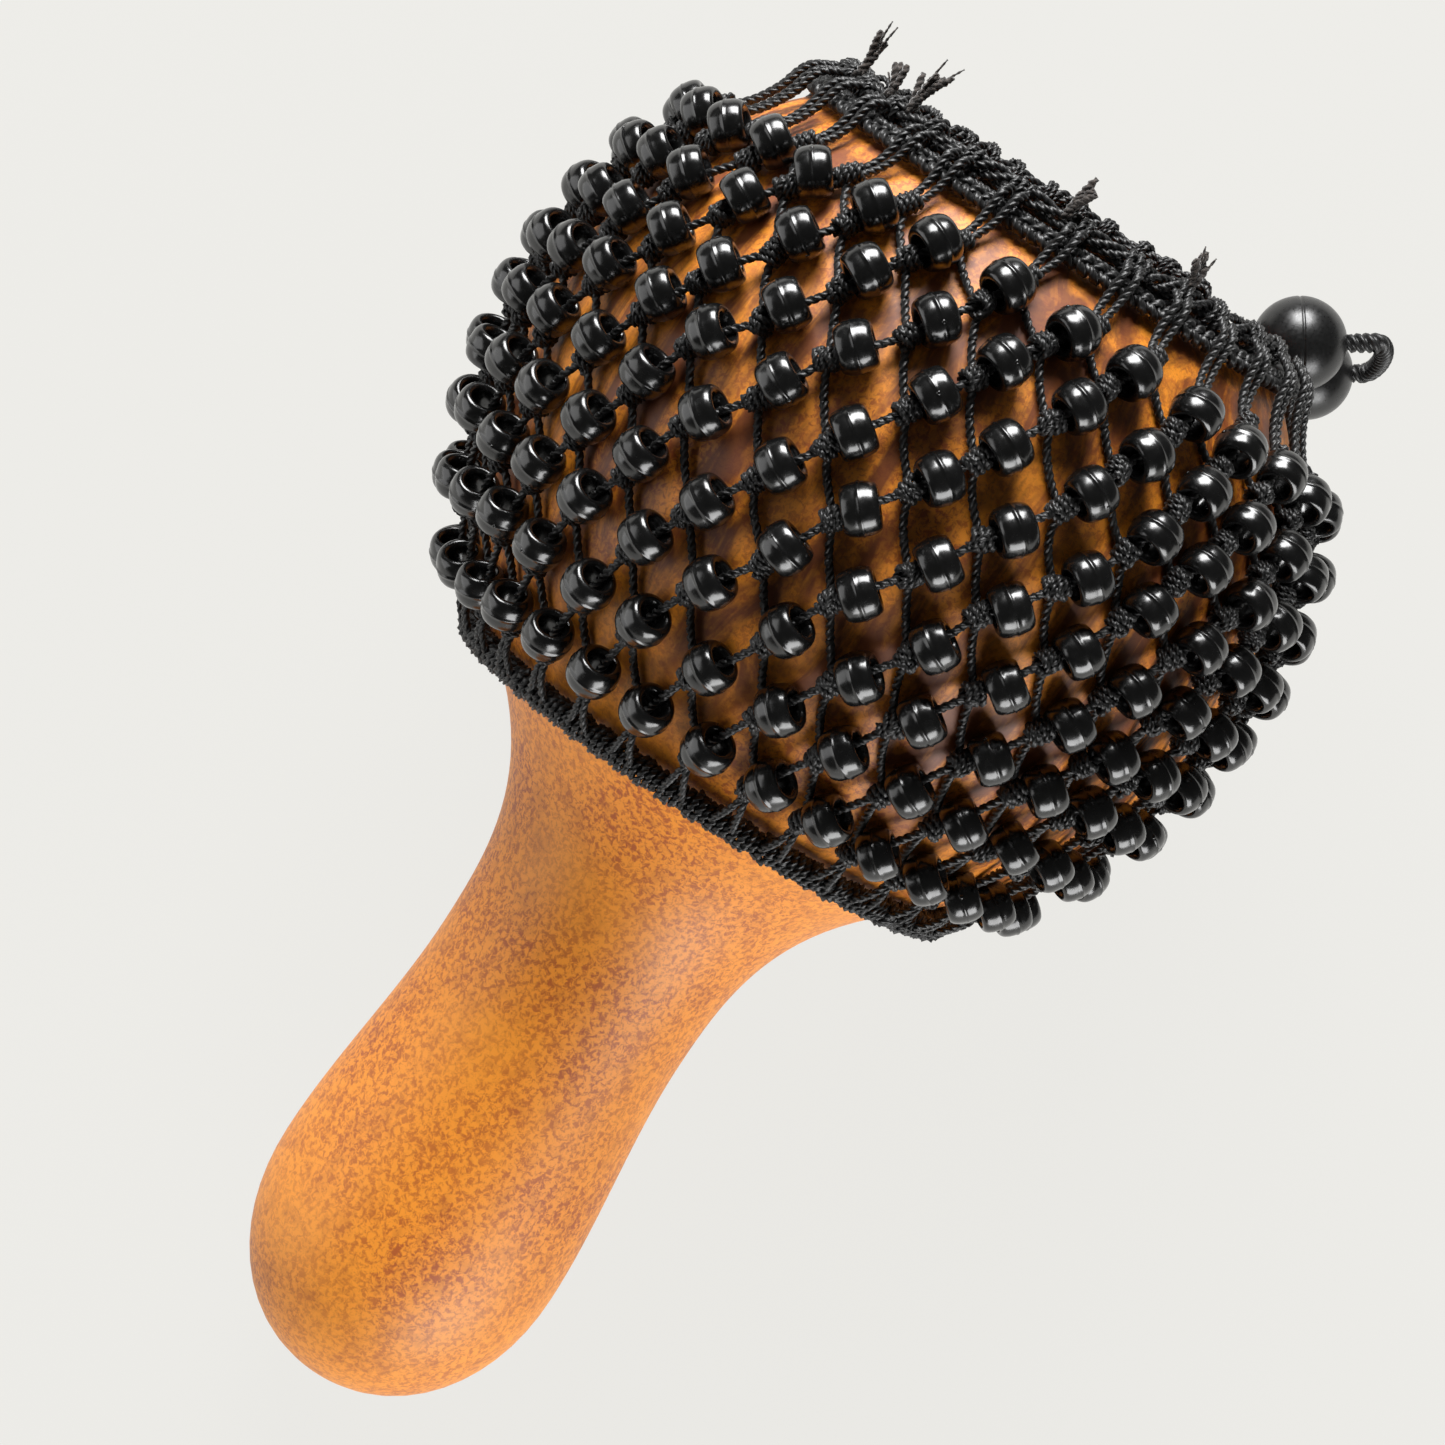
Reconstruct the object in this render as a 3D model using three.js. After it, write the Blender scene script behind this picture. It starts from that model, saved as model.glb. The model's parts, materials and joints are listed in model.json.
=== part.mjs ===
// A bottle-gourd rattle: a hollow shell with a long handle, wrapped in a net of pony beads.
// Millimetres, +Z up. It lies on its side, on the handle's end and the net's lowest beads.
// Shapes are drawn upright first: local Z is the gourd's axis, from the handle's tip to the
// open base, local +X is the side that will face the floor. lieDown() then turns them.
import * as THREE from "three";

// ---- gourd shell ----
const WALL = 2.5;
const HANDLE_R = 29.1; // widest part of the handle
const HANDLE_Z = 34.8;
const TIP_POWER = 2.1; // the tip is a little fuller than an ellipse
const WAIST_R = 25.3;
const WAIST_Z = 84.3;
const FLARE_Z = 129.9; // here the neck runs into the belly's ellipse
const FLARE_SLOPE = 1.08;
const BELLY_R = 71.3;
const BELLY_Z = 194.8;
const BELLY_UP = 80.7; // the ellipse's half length towards the handle
const BELLY_DOWN = 68; // and towards the base
const RIM_Z = 246.3; // where the slanted plane of the mouth meets the axis
const MOUTH_SLOPE = 0.13; // the mouth and the collar lean this much, lower on the upper side
const RIM_WIDTH = 3.4;
const GOURD_SIDES = 40;

// ---- net of beads ----
const COLUMNS = 33;
const ROWS = 9;
const FIRST_KNOT_Z = 141.9;
const KNOT_STEP = 11.1;
const KNOT_CLOSING = 0.117; // each row is this much closer than the last, twice over
const BEAD_R = 4.4;
const BEAD_LENGTH = 5.8;
const BEAD_FROM_KNOT = 5.8; // from a knot's centre to its bead's centre, along the cord
const BEAD_HEIGHT = 5.05; // bead's centre above the shell
const CORD_R = 0.75;
const KNOT_R = 1.3;
const KNOT_GAP = 1.6; // each row's cord ends this far from the knot line, so rows can move
const HOLE_LEDGE = 0.25;
const FIRST_BEAD_ANGLE = 180; // odd rows have a bead on the upper side

// ---- neck ring ----
const NECK_RING_Z = 134.9;
const NECK_RING_HEIGHT = 3.1;
const NECK_RING_R = 2.6;
const HITCH_Z = [138.4, 140.3];

// ---- base collar ----
const STRING_FOOT_Z = 234.9;
const STRING_Z = 242.9; // this and the next two are planes parallel to the mouth's
const BRAID_Z = 245.8;
const BRAID_HEIGHT = 2.3;
const BRAID_HALF = [2.0, 1.5]; // along the shell, away from it
const RIDGE_Z = 249.1;
const RIDGE_HEIGHT = 2.7;
const RIDGE_R = 1.6;
const RIDGE_ENDS = [312, 602]; // it is open where the drawcord's ends come out
const TUFTS = [ // angle in degrees from the upper side, length, sideways lean
  [-56, 5, 1.0],
  [-42, 3.5, -1.0],
  [-35, 5, 1.5],
  [1, 3.5, 1],
  [27, 3, -1],
];

// ---- drawcord and its two round beads ----
const TOGGLE_R = 8.8;
const TOGGLE_BORE_R = 2.0;
const TOGGLE_AT = [ // out from the axis, towards the upper side, along the axis
  [48.4, -24, 256.8],
  [53.9, -41.5, 254.7],
];
const LEG_SPARE = 1.6; // straight cord beyond a bead, on which it can slide
const LOOP_REACH = 2.6;
const PULL_ANGLE = 57; // the drawcord leaves at this angle to the gourd's axis
const LOOP_R = 1.6;

const DEG = Math.PI / 180;
const PITCH = 360 / COLUMNS;

// ---- the gourd's outline ----
function hermite(u, p0, p1, m0, m1) {
  const a = 2 * u ** 3 - 3 * u ** 2 + 1;
  const b = u ** 3 - 2 * u ** 2 + u;
  const c = -2 * u ** 3 + 3 * u ** 2;
  const d = u ** 3 - u ** 2;
  return a * p0 + b * m0 + c * p1 + d * m1;
}

function bellyRadius(z) {
  const half = z < BELLY_Z ? BELLY_UP : BELLY_DOWN;
  return BELLY_R * Math.sqrt(1 - ((z - BELLY_Z) / half) ** 2);
}

function outerRadius(z) {
  if (z >= FLARE_Z) return bellyRadius(z);
  if (z >= WAIST_Z) {
    const span = FLARE_Z - WAIST_Z;
    const u = (z - WAIST_Z) / span;
    return hermite(u, WAIST_R, bellyRadius(FLARE_Z), 0, FLARE_SLOPE * span);
  }
  if (z >= HANDLE_Z) {
    const u = (z - HANDLE_Z) / (WAIST_Z - HANDLE_Z);
    return hermite(u, HANDLE_R, WAIST_R, 0, 0);
  }
  const u = Math.min(1, (HANDLE_Z - z) / HANDLE_Z);
  return HANDLE_R * (1 - u ** TIP_POWER) ** (1 / TIP_POWER);
}

// The unit normal of the outline at z, as [out from the axis, along the axis].
function outlineNormal(z) {
  const step = 0.05;
  const slope = (outerRadius(z + step) - outerRadius(z - step)) / (2 * step);
  const size = Math.hypot(1, slope);
  return [1 / size, -slope / size];
}

// A point above the shell: the outline at z, raised along its normal, at an angle.
function above(z, height, angle) {
  const [out, along] = outlineNormal(z);
  const r = outerRadius(z) + height * out;
  const a = angle * DEG;
  return new THREE.Vector3(r * Math.cos(a), r * Math.sin(a), z + height * along);
}

// The height on the shell of a plane parallel to the mouth's, which meets the axis at plane.
function slantedZ(plane, angle) {
  let z = plane;
  for (let i = 0; i < 12; i += 1) {
    z = plane + MOUTH_SLOPE * outerRadius(z) * Math.cos(angle * DEG);
  }
  return z;
}

function surfaceNormal(z, angle) {
  return above(z, 1, angle).sub(above(z, 0, angle)).normalize();
}

// ---- closed bodies made of rings of points ----
// A ring of points around a centre: sides points, radius rn along normal and rb across it.
function ring(centre, normal, direction, sides, rn, rb = rn) {
  const t = direction.clone().normalize();
  const n = normal.clone().addScaledVector(t, -normal.dot(t)).normalize();
  const b = new THREE.Vector3().crossVectors(t, n);
  return Array.from({ length: sides }, (_, i) => {
    const a = (2 * Math.PI * i) / sides;
    return centre
      .clone()
      .addScaledVector(n, rn * Math.cos(a))
      .addScaledVector(b, rb * Math.sin(a));
  });
}

// Triangles between two rings that may have different numbers of points.
function stitch(faces, a, b) {
  const [m, n] = [a.length, b.length];
  let [i, j] = [0, 0];
  while (i < m || j < n) {
    if (j >= n || (i < m && (i + 1) * n <= (j + 1) * m)) {
      faces.push([a[i % m], a[(i + 1) % m], b[j % n]]);
      i += 1;
    } else {
      faces.push([a[i % m], b[(j + 1) % n], b[j % n]]);
      j += 1;
    }
  }
}

// One closed body through a list of rings: a closed loop, or a rod with a point at each end.
function sweep(rings, looped) {
  const faces = [];
  const links = looped ? rings.length : rings.length - 1;
  for (let k = 0; k < links; k += 1) {
    stitch(faces, rings[k], rings[(k + 1) % rings.length]);
  }
  const flat = faces.flat().flatMap((p) => [p.x, p.y, p.z]);
  const geometry = new THREE.BufferGeometry();
  geometry.setAttribute("position", new THREE.Float32BufferAttribute(flat, 3));
  return facingOut(geometry);
}

function facingOut(geometry) {
  const p = geometry.getAttribute("position");
  const [a, b, c] = [new THREE.Vector3(), new THREE.Vector3(), new THREE.Vector3()];
  let volume = 0;
  for (let i = 0; i < p.count; i += 3) {
    a.fromBufferAttribute(p, i);
    b.fromBufferAttribute(p, i + 1);
    c.fromBufferAttribute(p, i + 2);
    volume += a.dot(b.cross(c));
  }
  if (volume < 0) {
    for (let i = 0; i < p.count; i += 3) {
      b.fromBufferAttribute(p, i + 1);
      c.fromBufferAttribute(p, i + 2);
      p.setXYZ(i + 1, c.x, c.y, c.z);
      p.setXYZ(i + 2, b.x, b.y, b.z);
    }
  }
  geometry.computeVertexNormals();
  return geometry;
}

// A rod along a list of points, with a closing point past each end.
function rod(points, radii, sides) {
  const up = new THREE.Vector3(0.31, 0.17, 0.93);
  const rings = points.map((p, i) => {
    const before = points[Math.max(0, i - 1)];
    const after = points[Math.min(points.length - 1, i + 1)];
    return ring(p, up, after.clone().sub(before), sides, radii[i]);
  });
  return sweep([[points[0]], ...rings, [points[points.length - 1]]], false);
}

// A ring round the gourd at heights zAt(angle), its section given by the half sizes along
// and away from the shell.
function hoop(zAt, height, [along, away], segments, sides, ripple = 0, [from, to] = [0, 360]) {
  const whole = to - from === 360;
  const rings = Array.from({ length: segments }, (_, i) => {
    const angle = from + ((to - from) * i) / (whole ? segments : segments - 1);
    const swell = 1 + ripple * (i % 2);
    const a = angle * DEG;
    const round = new THREE.Vector3(-Math.sin(a), Math.cos(a), 0);
    const n = surfaceNormal(zAt(angle), angle);
    const centre = above(zAt(angle), height, angle);
    return ring(centre, n, round, sides, away * swell, along * swell);
  });
  if (whole) return sweep(rings, true);
  const ends = [from, to].map((angle) => [above(zAt(angle), height, angle)]);
  return sweep([ends[0], ...rings, ends[1]], false);
}

// ---- gourd ----
// Outside from the tip to the slanted rim, then inside back to the tip.
function gourdShell() {
  const angles = Array.from({ length: GOURD_SIDES }, (_, i) => (360 * i) / GOURD_SIDES);
  const ringAt = (zAt, inset) => angles.map((angle) => above(zAt(angle), -inset, angle));
  const beyond = (share) => (angle) => BELLY_Z + share * (slantedZ(RIM_Z, angle) - BELLY_Z);
  const tip = [0.02, 0.07, 0.16, 0.3, 0.52, 0.76, 1].map((u) => HANDLE_Z * u);
  const outer = [...tip, 50, 64, 76, 88, 99, 108, 116, 123, FLARE_Z, 136, 143, 151, 161, 172];
  const inner = [172, 154, 141, FLARE_Z, 119, 104, 84, 59, 36, 21, 11, 5];
  const rings = [[new THREE.Vector3(0, 0, 0)]];
  for (const z of [...outer, 184]) rings.push(ringAt(() => z, 0));
  for (const share of [0.03, 0.27, 0.47, 0.65, 0.8, 0.91, 1]) rings.push(ringAt(beyond(share), 0));
  rings.push(
    rings[rings.length - 1].map((p) => {
      const r = Math.hypot(p.x, p.y);
      const k = (r - RIM_WIDTH) / r;
      return new THREE.Vector3(p.x * k, p.y * k, RIM_Z + MOUTH_SLOPE * p.x * k);
    }),
  );
  for (const share of [0.9, 0.75, 0.5, 0.15]) rings.push(ringAt(beyond(share), WALL));
  for (const z of inner) rings.push(ringAt(() => z, WALL));
  rings.push([new THREE.Vector3(0, 0, WALL)]);
  return sweep(rings, false);
}

// ---- net ----
function knotZ(k) {
  return FIRST_KNOT_Z + KNOT_STEP * k - KNOT_CLOSING * k * (k - 1);
}

// A bead row's cord runs up through its beads and straight down again, all the way round.
function beadRow(row) {
  const [z0, z1] = [knotZ(row), knotZ(row + 1)];
  const rings = [];
  for (let i = 0; i < COLUMNS; i += 1) {
    const foot = FIRST_BEAD_ANGLE + PITCH * (i + row / 2 - 0.2);
    const at = (f, h) => above(z0 + (z1 - z0) * f, h, foot + (PITCH / 2) * f);
    const length = at(0, 3).distanceTo(at(1, 3));
    const rise = above(z0, 3, 0).distanceTo(above(z1, 3, 0));
    const round = at(0, 3).sub(above(z0, 3, foot + 1)).negate();
    const f = BEAD_FROM_KNOT / length;
    const centre = at(f, BEAD_HEIGHT);
    const axis = at(f + 0.1, BEAD_HEIGHT).sub(at(f - 0.1, BEAD_HEIGHT)).normalize();
    const n = surfaceNormal(z0 + (z1 - z0) * f, foot + (PITCH / 2) * f);
    const on = (d) => centre.clone().addScaledVector(axis, d);
    const half = BEAD_LENGTH / 2;
    const gap = KNOT_GAP / rise;
    const nearNormal = surfaceNormal(z0, foot);
    const farNormal = surfaceNormal(z1, foot + PITCH / 2);
    rings.push(ring(at(gap, 2.6), nearNormal, round, 3, CORD_R, KNOT_R));
    rings.push(ring(on(-half - HOLE_LEDGE), n, axis, 3, CORD_R));
    rings.push(ring(on(-half), n, axis, 6, BEAD_R));
    rings.push(ring(on(half), n, axis, 6, BEAD_R));
    rings.push(ring(on(half + HOLE_LEDGE), n, axis, 3, CORD_R));
    rings.push(ring(at(1 - gap, 2.2), farNormal, round, 3, CORD_R, KNOT_R));
  }
  return sweep(rings, true);
}

// Loops of cord between lowAt(angle) and highAt(angle), one up and down for every column.
function zigzag(lowAt, highAt, lowHeight, highHeight, phase) {
  const rings = [];
  for (let i = 0; i < COLUMNS; i += 1) {
    const foot = FIRST_BEAD_ANGLE + PITCH * (i + phase);
    const top = foot + PITCH / 2;
    for (const [z, height, angle] of [
      [lowAt(foot), lowHeight, foot],
      [highAt(top), highHeight, top],
    ]) {
      const round = new THREE.Vector3(-Math.sin(angle * DEG), Math.cos(angle * DEG), 0);
      rings.push(ring(above(z, height, angle), surfaceNormal(z, angle), round, 3, 0.9, 1.3));
    }
  }
  return sweep(rings, true);
}

// ---- collar tufts: short frayed ends of cord ----
function tuft([angle, length, lean]) {
  const a = (180 + angle) * DEG;
  const out = new THREE.Vector3(Math.cos(a), Math.sin(a), 0);
  const round = new THREE.Vector3(-Math.sin(a), Math.cos(a), 0);
  const z = slantedZ(RIDGE_Z, 180 + angle);
  const root = above(z, RIDGE_HEIGHT + RIDGE_R + 0.7, 180 + angle);
  const points = [0, 0.45, 1].map((u) =>
    root
      .clone()
      .add(new THREE.Vector3(0, 0, length * u))
      .addScaledVector(out, length * 0.25 * u)
      .addScaledVector(round, lean * u * u),
  );
  return rod(points, [0.9, 1.3, 0.5], 5);
}

// ---- drawcord ----
function pullDirection() {
  const a = PULL_ANGLE * DEG;
  return new THREE.Vector3(0, -Math.sin(a), Math.cos(a));
}

// Out from the axis is local -Y, the upper side is local -X.
function drawcordPoint(out, up, along) {
  return new THREE.Vector3(-up, -out, along);
}

function toggleBead(index) {
  const bore = Math.asin(TOGGLE_BORE_R / TOGGLE_R);
  const steps = 9;
  const profile = Array.from({ length: steps + 1 }, (_, i) => {
    const a = bore + ((Math.PI - 2 * bore) * i) / steps;
    return new THREE.Vector2(TOGGLE_R * Math.sin(a), -TOGGLE_R * Math.cos(a));
  });
  profile.push(profile[0].clone());
  const lathe = new THREE.LatheGeometry(profile, 18).toNonIndexed();
  const turn = new THREE.Quaternion();
  turn.setFromUnitVectors(new THREE.Vector3(0, 1, 0), pullDirection());
  lathe.applyQuaternion(turn);
  const at = drawcordPoint(...TOGGLE_AT[index]);
  lathe.translate(at.x, at.y, at.z);
  return facingOut(lathe);
}

// The drawcord comes out of the collar through one bead and goes back through the other.
function drawcordLoop() {
  const pull = pullDirection();
  const [one, two] = TOGGLE_AT.map((at) => drawcordPoint(...at));
  const along = (p, d) => p.clone().addScaledVector(pull, d);
  const far = TOGGLE_R + LEG_SPARE;
  const stagger = two.clone().sub(one).dot(pull);
  const [legOne, legTwo] = [along(one, far + stagger), along(two, far)];
  const middle = legOne.clone().add(legTwo).multiplyScalar(0.5);
  const side = legTwo.clone().sub(legOne).multiplyScalar(0.5);
  const bend = [30, 60, 90, 120, 150].map((d) =>
    middle
      .clone()
      .addScaledVector(side, -Math.cos(d * DEG))
      .addScaledVector(pull, LOOP_REACH * Math.sin(d * DEG)),
  );
  const points = [
    along(one, -TOGGLE_R + 0.4),
    along(one, TOGGLE_R + 0.4),
    legOne,
    ...bend,
    legTwo,
    along(two, TOGGLE_R + 0.4),
    along(two, -TOGGLE_R - 0.6),
    drawcordPoint(43.4, -41.0, 249.2),
    drawcordPoint(40.6, -39.8, 249.8),
    drawcordPoint(37.9, -37.9, 250.8),
    drawcordPoint(35.6, -35.6, 251.6),
  ];
  return rod(points, points.map(() => LOOP_R), 6);
}

// ---- the whole part ----
const SLOTS = {
  shell: new THREE.MeshStandardMaterial({ color: 0xd98a32 }),
  bead: new THREE.MeshStandardMaterial({ color: 0x141414 }),
  cord: new THREE.MeshStandardMaterial({ color: 0x1c1c1c }),
  toggle: new THREE.MeshStandardMaterial({ color: 0x222222 }),
};

function pieces() {
  const list = [["gourd_shell", "shell", gourdShell()]];
  const half = [NECK_RING_R, NECK_RING_R];
  const neck = hoop(() => NECK_RING_Z, NECK_RING_HEIGHT, half, 66, 5, 0.08);
  list.push(["neck_ring", "cord", neck]);
  const hitches = zigzag(() => HITCH_Z[0], () => HITCH_Z[1], 2.2, 2.4, -0.7);
  list.push(["neck_hitches", "cord", hitches]);
  for (let row = 0; row < ROWS; row += 1) {
    list.push([`bead_row_${row + 1}`, "bead", beadRow(row)]);
  }
  const slanted = (plane) => (angle) => slantedZ(plane, angle);
  const strings = zigzag(() => STRING_FOOT_Z, slanted(STRING_Z), 2.2, 2.2, ROWS / 2 - 0.2);
  list.push(["collar_strings", "cord", strings]);
  const braid = hoop(slanted(BRAID_Z), BRAID_HEIGHT, BRAID_HALF, 66, 4);
  list.push(["collar_braid", "cord", braid]);
  const roll = [RIDGE_R, RIDGE_R];
  const ridge = hoop(slanted(RIDGE_Z), RIDGE_HEIGHT, roll, 60, 4, 0.12, RIDGE_ENDS);
  list.push(["collar_ridge", "cord", ridge]);
  TUFTS.forEach((t, i) => list.push([`collar_tuft_${i + 1}`, "cord", tuft(t)]));
  for (const i of [0, 1]) list.push([`toggle_bead_${i + 1}`, "toggle", toggleBead(i)]);
  list.push(["drawcord_loop", "cord", drawcordLoop()]);
  return list;
}

// Height above the floor of a geometry's lowest point, with the axis raised by tilt.
function lowest(geometry, tilt, within = () => true) {
  const p = geometry.getAttribute("position");
  let low = Infinity;
  for (let i = 0; i < p.count; i += 1) {
    if (!within(p.getZ(i))) continue;
    low = Math.min(low, -p.getX(i) * Math.cos(tilt) + p.getZ(i) * Math.sin(tilt));
  }
  return low;
}

// The tilt at which the handle's end and the lowest beads both touch the floor.
function restTilt(list) {
  const shell = list.find(([name]) => name === "gourd_shell")[2];
  const rows = list.filter(([name]) => name.startsWith("bead_row")).map((item) => item[2]);
  let [low, high] = [5 * DEG, 35 * DEG];
  for (let i = 0; i < 40; i += 1) {
    const tilt = (low + high) / 2;
    const handle = lowest(shell, tilt, (z) => z < WAIST_Z);
    const net = Math.min(...rows.map((g) => lowest(g, tilt)));
    if (net < handle) low = tilt;
    else high = tilt;
  }
  return (low + high) / 2;
}

// Turns every piece onto its side and centres the part on the floor.
function lieDown(list) {
  const tilt = restTilt(list);
  const turn = new THREE.Matrix4().makeRotationY(Math.PI / 2 - tilt);
  const box = new THREE.Box3();
  for (const [name, , geometry] of list) {
    geometry.applyMatrix4(turn);
    geometry.computeBoundingBox();
    if (name !== "drawcord_loop") box.union(geometry.boundingBox);
  }
  const middle = box.getCenter(new THREE.Vector3());
  for (const [, , geometry] of list) geometry.translate(-middle.x, -middle.y, -box.min.z);
}

const part = new THREE.Group();
part.name = "gourd_rattle";
const list = pieces();
lieDown(list);
for (const [name, slot, geometry] of list) {
  const mesh = new THREE.Mesh(geometry, SLOTS[slot]);
  mesh.name = name;
  part.add(mesh);
}

export default part;
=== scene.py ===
# The finish of a beaded gourd rattle: lacquered gourd, net of pony beads, twisted cord.
# Shapes are worked out upright and in millimetres: Z is the gourd's axis from the handle's
# tip, X is the side that faces the floor. placed() turns them into the row frame in metres.
import json
import math

import bpy
import numpy as np
from mathutils import Matrix, Vector


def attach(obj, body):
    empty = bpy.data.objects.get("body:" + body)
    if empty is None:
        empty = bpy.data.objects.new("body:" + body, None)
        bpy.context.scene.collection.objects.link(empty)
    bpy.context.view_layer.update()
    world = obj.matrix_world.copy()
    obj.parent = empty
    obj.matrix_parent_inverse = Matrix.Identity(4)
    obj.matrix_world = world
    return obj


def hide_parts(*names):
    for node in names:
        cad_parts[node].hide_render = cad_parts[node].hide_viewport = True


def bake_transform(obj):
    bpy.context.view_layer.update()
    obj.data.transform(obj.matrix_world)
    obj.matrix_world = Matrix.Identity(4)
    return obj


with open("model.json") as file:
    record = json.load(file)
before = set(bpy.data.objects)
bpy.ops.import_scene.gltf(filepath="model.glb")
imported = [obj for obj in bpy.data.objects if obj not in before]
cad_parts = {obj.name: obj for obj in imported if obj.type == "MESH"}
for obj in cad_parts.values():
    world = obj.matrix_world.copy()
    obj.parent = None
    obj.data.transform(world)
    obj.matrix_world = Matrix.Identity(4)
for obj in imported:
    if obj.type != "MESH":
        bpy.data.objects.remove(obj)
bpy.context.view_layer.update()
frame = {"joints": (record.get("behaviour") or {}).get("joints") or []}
MM = 0.001

# ---- the gourd's axis, from the joint that lets the net turn round it ----
TURN = next(j for j in frame["joints"] if j["name"] == "net_turn")
AXIS = np.array(TURN["axis"]) / np.linalg.norm(TURN["axis"])
TIP = np.array(TURN["pos_m"])
DOWN = np.array([AXIS[2], 0.0, -AXIS[0]])
SIDE = np.array([0.0, 1.0, 0.0])

# ---- gourd ----
WALL = 2.5
HANDLE_R, HANDLE_Z, TIP_POWER = 29.1, 34.8, 2.1
WAIST_R, WAIST_Z = 25.3, 84.3
FLARE_Z, FLARE_SLOPE = 129.9, 1.08
BELLY_R, BELLY_Z, BELLY_UP, BELLY_DOWN = 71.3, 194.8, 80.7, 68.0
RIM_Z, MOUTH_SLOPE = 246.3, 0.13  # the mouth is a slanted plane, lower on the upper side
RIM_WIDTH = 3.4

# ---- net ----
COLUMNS, ROWS = 33, 9
PITCH = 360 / COLUMNS
FIRST_KNOT_Z, KNOT_STEP, KNOT_CLOSING = 141.9, 11.1, 0.117
LAST_ROW_SHARE = 0.78  # the last knots sit right against their beads
BEAD_R, BEAD_HALF, HOLE_R = 4.35, 3.05, 2.05
BEAD_FROM_KNOT = 4.75
BEAD_HEIGHT = 4.55
CORD_R, CORD_LAY = 0.8, 4.2
KNOT_CORD_R, KNOT_LAY, KNOT_HEIGHT = 0.66, 3.0, 2.7
# wraps, radius and length of a knot's barrel, and the radius of the turn across it
KNOT_WRAPS, KNOT_R, KNOT_LENGTH, KNOT_TURN_R = 3.5, 1.65, 3.9, 2.0
LAST_WRAPS, LAST_R, LAST_LENGTH, LAST_TURN_R = 4.6, 1.45, 4.8, 1.5

# ---- neck ring, collar ----
NECK_RING_Z, NECK_RING_HEIGHT = 134.9, 3.0
NECK_WRAPS = COLUMNS * 7
START_CORD_R = 0.72
STRING_R, STRING_LAY = 0.8, 4.2
# these two are planes parallel to the mouth's
BRAID_Z, BRAID_HEIGHT = 245.8, 2.2
BRAID_REPEATS, BRAID_STRAND_R, BRAID_REACH, BRAID_LIFT = 50, 0.8, 1.4, 0.6
RIDGE_Z, RIDGE_HEIGHT = 249.1, 2.8
RIDGE_ENDS = (312.0, 602.0)
RIDGE_ROPES, RIDGE_ROPE_R, RIDGE_TWISTS = 4, 0.74, 21
# each tuft: angle from the upper side, length, sideways lean
TUFTS = [(-56, 8, 1.0), (-42, 5.5, -1.0), (-35, 8, 2.0), (1, 5.5, 1.5), (27, 5.5, -1)]
TUFT_ENDS = [(0.75, 6, 0.2), (0.28, 4, 0.16)]  # strand radius, how many, how far they fan

# ---- drawcord ----
TOGGLE_R, TOGGLE_BORE_R = 8.8, 2.0
TOGGLE_AT = [(48.4, -24.0, 256.8), (53.9, -41.5, 254.7)]
PULL_ANGLE = 57.0
LEG_SPARE, LOOP_REACH, LOOP_R = 1.6, 2.6, 1.6

chance = np.random.default_rng(11)


def local_to_row(p):
    p = np.asarray(p, float)
    return (p[..., 0:1] * DOWN + p[..., 1:2] * SIDE + p[..., 2:3] * AXIS) * MM


def placed(p):
    return TIP + local_to_row(p)


def unit(v):
    return v / np.linalg.norm(v, axis=-1, keepdims=True)


# ---------------------------------------------------------------- camera
# It stands over the gourd, square to its axis, and is rolled so that the handle points to
# the lower left.
CAMERA_DISTANCE = 533.4
CAMERA_FOOT_Z = 196.3
CAMERA_ROUND = 1.2
AXIS_ON_FRAME = 57.0
LENS, SENSOR = 73.687, 36.0
FOOT_ON_SENSOR = (4.375, -6.154)  # where the nearest point of the axis falls, in mm


def camera_axes():
    """The camera's turn and place, and the point on the axis nearest to it."""
    a = math.radians(CAMERA_ROUND)
    towards = -math.cos(a) * DOWN - math.sin(a) * SIDE
    side = math.sin(a) * DOWN - math.cos(a) * SIDE
    foot = TIP + AXIS * CAMERA_FOOT_Z * MM
    x, y = FOOT_ON_SENSOR
    n_cam = unit(np.array([x, -y, -LENS]))
    t = math.radians(AXIS_ON_FRAME)
    a_cam = np.array([math.cos(t), math.sin(t), 0.0])
    a_cam = unit(a_cam - n_cam * (a_cam @ n_cam))
    p_cam = np.cross(n_cam, a_cam)
    to_row = np.outer(-towards, n_cam) + np.outer(AXIS, a_cam) + np.outer(side, p_cam)
    return to_row, foot + towards * CAMERA_DISTANCE * MM, foot


def make_camera():
    to_row, place, _ = camera_axes()
    data = bpy.data.cameras.new("camera")
    data.sensor_width = SENSOR
    data.lens = LENS
    data.clip_start, data.clip_end = 0.01, 20.0
    cam = bpy.data.objects.new("camera", data)
    bpy.context.scene.collection.objects.link(cam)
    cam.matrix_world = Matrix.Translation(Vector(place)) @ Matrix(to_row.tolist()).to_4x4()
    bpy.context.scene.camera = cam


make_camera()


# ---------------------------------------------------------------- materials
def srgb(code):
    """A hex colour as linear RGBA."""
    out = []
    for i in (1, 3, 5):
        c = int(code[i : i + 2], 16) / 255
        out.append(c / 12.92 if c <= 0.04045 else ((c + 0.055) / 1.055) ** 2.4)
    return (*out, 1.0)


def new_material(name):
    """A material with only its Principled shader, and that shader."""
    material = bpy.data.materials.new(name)
    material.use_nodes = True
    return material, material.node_tree.nodes["Principled BSDF"]


def add(material, kind, settings=None, links=None):
    """One node. settings go on inputs or properties, links are input: (node, output)."""
    tree = material.node_tree
    node = tree.nodes.new(kind)
    for key, value in (settings or {}).items():
        if isinstance(key, int) or key in node.inputs:
            node.inputs[key].default_value = value
        else:
            setattr(node, key, value)
    for key, (source, output) in (links or {}).items():
        tree.links.new(source.outputs[output], node.inputs[key])
    return node


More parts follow.
